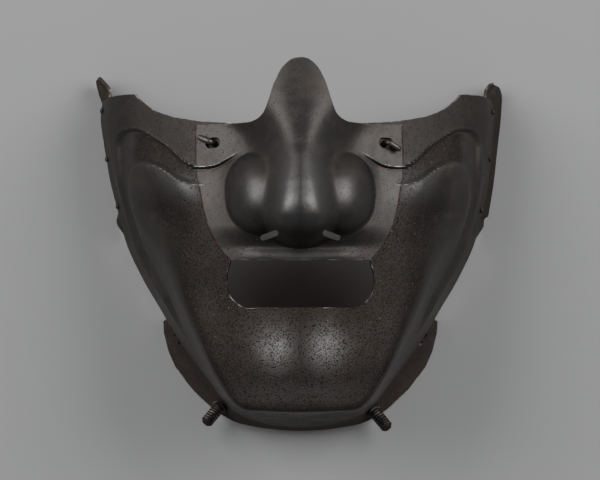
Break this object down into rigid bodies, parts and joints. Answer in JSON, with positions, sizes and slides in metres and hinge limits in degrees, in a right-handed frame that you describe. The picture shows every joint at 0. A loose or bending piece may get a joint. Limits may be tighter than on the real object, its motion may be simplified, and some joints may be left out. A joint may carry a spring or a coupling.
{
  "type": "samurai face guard",
  "caption": "Iron half mask for the lower face with a detachable nose held by two turning pins, cord guards, cord pegs and a flared throat flange with lacing holes.",
  "frame": {"origin": "bottom centre of the mask's box, on the surface that its rear edges rest on", "axes": "+X across the face towards the viewer's right, +Y up the face towards the bridge of the nose, +Z forwards, away from the wearer"},
  "size_m": [0.1724, 0.1552, 0.111],
  "materials": {
    "russet_iron": "hammered sheet iron rusted to a fine dark russet",
    "nose_iron": "hammered sheet iron, dark russet, polished by handling",
    "flange_iron": "sheet iron with brown rust",
    "guard_iron": "sheet iron, dark brown, worn at the edges",
    "peg_iron": "turned iron, dark, worn on the ribs",
    "worn_iron": "worn bright iron"
  },
  "bodies": {
    "root": {"face_plate": "russet_iron", "nose_piece": "nose_iron", "throat_flange": "flange_iron", "cord_peg_left": "peg_iron", "cord_peg_right": "peg_iron", "cord_guard_left": "guard_iron", "cord_guard_right": "guard_iron", "guard_rivet_left_1": "guard_iron", "guard_rivet_left_2": "guard_iron", "guard_rivet_left_3": "guard_iron", "guard_rivet_right_1": "guard_iron", "guard_rivet_right_2": "guard_iron", "guard_rivet_right_3": "guard_iron"},
    "pin_left": {"turn_pin_left": "worn_iron"},
    "pin_right": {"turn_pin_right": "worn_iron"}
  },
  "joints": [
    {"name": "pin_left_turn", "type": "hinge", "parent": "root", "child": "pin_left", "pos_m": [-0.03477, 0.0427, 0.06574], "axis": [-0.3757, 0.1655, 0.9119], "continuous": true},
    {"name": "pin_right_turn", "type": "hinge", "parent": "root", "child": "pin_right", "pos_m": [0.03483, 0.0427, 0.06574], "axis": [0.3757, 0.1655, 0.9119], "continuous": true}
  ]
}
